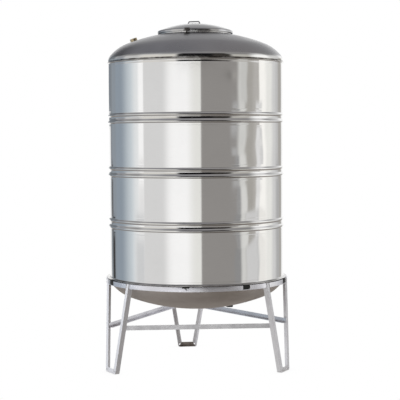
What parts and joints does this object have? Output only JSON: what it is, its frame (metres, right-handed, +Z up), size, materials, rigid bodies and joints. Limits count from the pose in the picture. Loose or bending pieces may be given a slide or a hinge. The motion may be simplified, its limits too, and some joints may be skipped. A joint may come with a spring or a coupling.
{
  "type": "vertical storage tank",
  "caption": "Upright polished steel water tank with domed ends, beaded shell and a hinged manhole lid, on a welded three-legged angle stand.",
  "frame": {"origin": "on the floor, at the middle of the plan's bounding box; the tank's axis stands 17.7 mm in front of it", "axes": "+Z up, -Y towards the front, +X to the right seen from the front"},
  "size_m": [1.0018, 1.039, 1.8925],
  "materials": {
    "tank_sheet": "mirror-polished rolled stainless sheet, faintly wavy",
    "small_steel": "satin stainless fittings",
    "dark_steel": "dark tarnished steel",
    "stand_steel": "satin silver-grey angle with bright weld spots",
    "socket_brass": "dull threaded socket",
    "black_plastic": "black moulded plug and socket",
    "pad_rubber": "black rubber strip"
  },
  "bodies": {
    "tank": {"shell": "tank_sheet", "roof": "tank_sheet", "bottom_dish": "tank_sheet", "manhole_neck": "tank_sheet", "hinge_pin": "small_steel", "hinge_bracket": "small_steel", "staple": "dark_steel", "roof_socket": "socket_brass", "drain_socket": "black_plastic", "drain_plug": "black_plastic", "leg_left_side_a": "stand_steel", "leg_left_side_b": "stand_steel", "foot_left": "stand_steel", "hoop_left_leg": "stand_steel", "leg_right_side_a": "stand_steel", "leg_right_side_b": "stand_steel", "foot_right": "stand_steel", "hoop_right_leg": "stand_steel", "leg_back_side_a": "stand_steel", "leg_back_side_b": "stand_steel", "foot_back": "stand_steel", "hoop_back_leg": "stand_steel", "hoop_front": "stand_steel", "brace_front": "stand_steel", "hoop_right": "stand_steel", "brace_right": "stand_steel", "hoop_left": "stand_steel", "brace_left": "stand_steel", "pad_front_left": "pad_rubber", "pad_front_right": "pad_rubber", "pad_left_leg": "pad_rubber", "pad_right_leg": "pad_rubber", "pad_back_leg": "pad_rubber", "pad_back_right": "pad_rubber", "pad_back_left": "pad_rubber"},
    "lid": {"lid": "tank_sheet", "lid_handle": "small_steel", "hinge_leaf": "small_steel", "hasp": "dark_steel"}
  },
  "joints": [
    {"name": "lid_hinge", "type": "hinge", "parent": "tank", "child": "lid", "pos_m": [0.04616, 0.19945, 1.83], "axis": [-0.9781, 0.2079, 0], "range_deg": [0, 105]}
  ]
}
